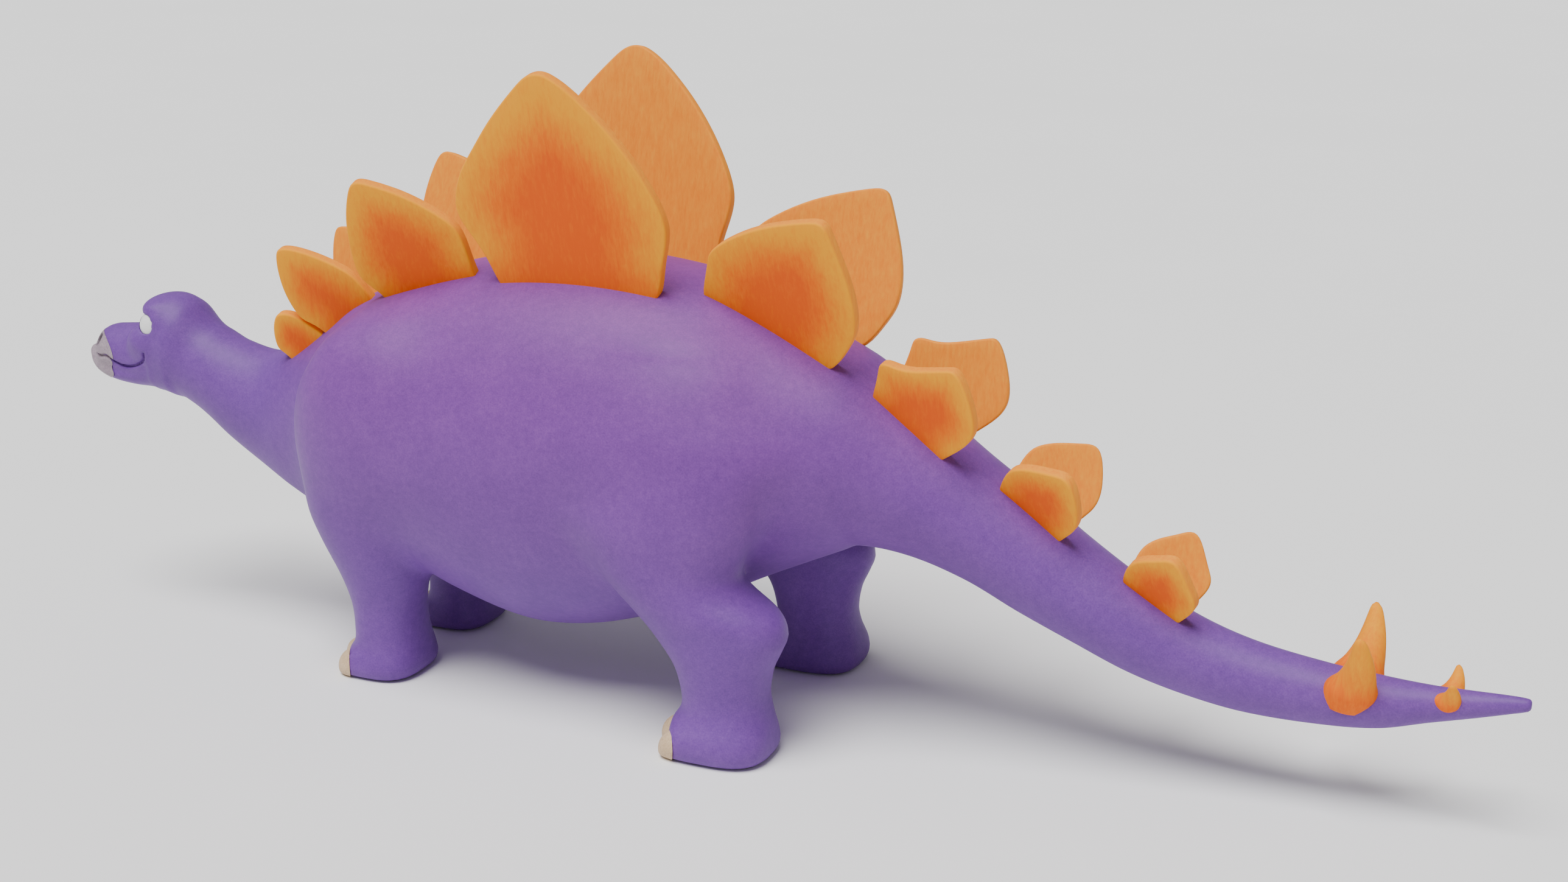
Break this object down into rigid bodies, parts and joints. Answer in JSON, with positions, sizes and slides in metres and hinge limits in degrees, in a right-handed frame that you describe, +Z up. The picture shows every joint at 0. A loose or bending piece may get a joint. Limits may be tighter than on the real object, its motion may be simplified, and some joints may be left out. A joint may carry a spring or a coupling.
{
  "type": "stuffed dinosaur",
  "caption": "Stuffed stegosaurus toy with sewn velour panels over fibre filling, felt plates and tail spikes, and a neck and tail that flex.",
  "frame": {"origin": "on the floor, under the middle of the toy's bounding box", "axes": "+X from the snout towards the tail's tip, -Y towards the toy's left side, +Z up"},
  "size_m": [0.6, 0.13, 0.2474],
  "materials": {
    "purple_velour": "short-pile purple velour with a soft sheen",
    "stuffing": "white polyester fibre filling",
    "orange_felt": "brushed orange felt, shaded red-orange in the middle",
    "beige_velour": "short-pile beige velour",
    "grey_velour": "short-pile warm grey velour",
    "eye_white": "glossy white",
    "eye_black": "glossy black",
    "washer_plastic": "matte white"
  },
  "bodies": {
    "torso": {"back_panel": "purple_velour", "belly_panel": "purple_velour", "front_left_leg_skin": "purple_velour", "front_left_leg_stuffing": "stuffing", "front_left_sole": "purple_velour", "front_left_toe_cap": "beige_velour", "front_right_leg_skin": "purple_velour", "front_right_leg_stuffing": "stuffing", "front_right_sole": "purple_velour", "front_right_toe_cap": "beige_velour", "hind_left_leg_skin": "purple_velour", "hind_left_leg_stuffing": "stuffing", "hind_left_sole": "purple_velour", "hind_left_toe_cap": "beige_velour", "hind_right_leg_skin": "purple_velour", "hind_right_leg_stuffing": "stuffing", "hind_right_sole": "purple_velour", "hind_right_toe_cap": "beige_velour", "left_flank_panel": "purple_velour", "plate_left_1": "orange_felt", "plate_left_2": "orange_felt", "plate_left_3": "orange_felt", "plate_left_4": "orange_felt", "plate_left_5": "orange_felt", "plate_right_1": "orange_felt", "plate_right_2": "orange_felt", "plate_right_3": "orange_felt", "plate_right_4": "orange_felt", "plate_right_5": "orange_felt", "right_flank_panel": "purple_velour", "torso_stuffing": "stuffing"},
    "head": {"chin_patch": "grey_velour", "eye_left": "eye_white", "eye_right": "eye_white", "eye_washer_left": "washer_plastic", "eye_washer_right": "washer_plastic", "head_skin": "purple_velour", "head_stuffing": "stuffing", "muzzle_patch": "grey_velour", "pupil_left": "eye_black", "pupil_right": "eye_black"},
    "tail": {"plate_left_6": "orange_felt", "plate_left_7": "orange_felt", "plate_left_8": "orange_felt", "plate_right_6": "orange_felt", "plate_right_7": "orange_felt", "plate_right_8": "orange_felt", "tail_skin": "purple_velour", "tail_stuffing": "stuffing"},
    "tail_tip": {"spike_left_1": "orange_felt", "spike_left_2": "orange_felt", "spike_right_1": "orange_felt", "spike_right_2": "orange_felt", "tail_tip_skin": "purple_velour", "tail_tip_stuffing": "stuffing"}
  },
  "joints": [
    {"name": "neck_bend", "type": "hinge", "parent": "torso", "child": "head", "pos_m": [-0.215, 0, 0.096], "axis": [0, 1, 0], "range_deg": [-12, 12], "stiffness_Nm_per_rad": 0.6, "springref_deg": 1.26},
    {"name": "tail_bend", "type": "hinge", "parent": "torso", "child": "tail", "pos_m": [0.06, 0, 0.1075], "axis": [0, 0, 1], "range_deg": [-12, 12], "stiffness_Nm_per_rad": 0.8},
    {"name": "tail_tip_bend", "type": "hinge", "parent": "tail", "child": "tail_tip", "pos_m": [0.205, 0, 0.043], "axis": [0, 1, 0], "range_deg": [-16, 16], "stiffness_Nm_per_rad": 0.3, "springref_deg": -0.46}
  ]
}
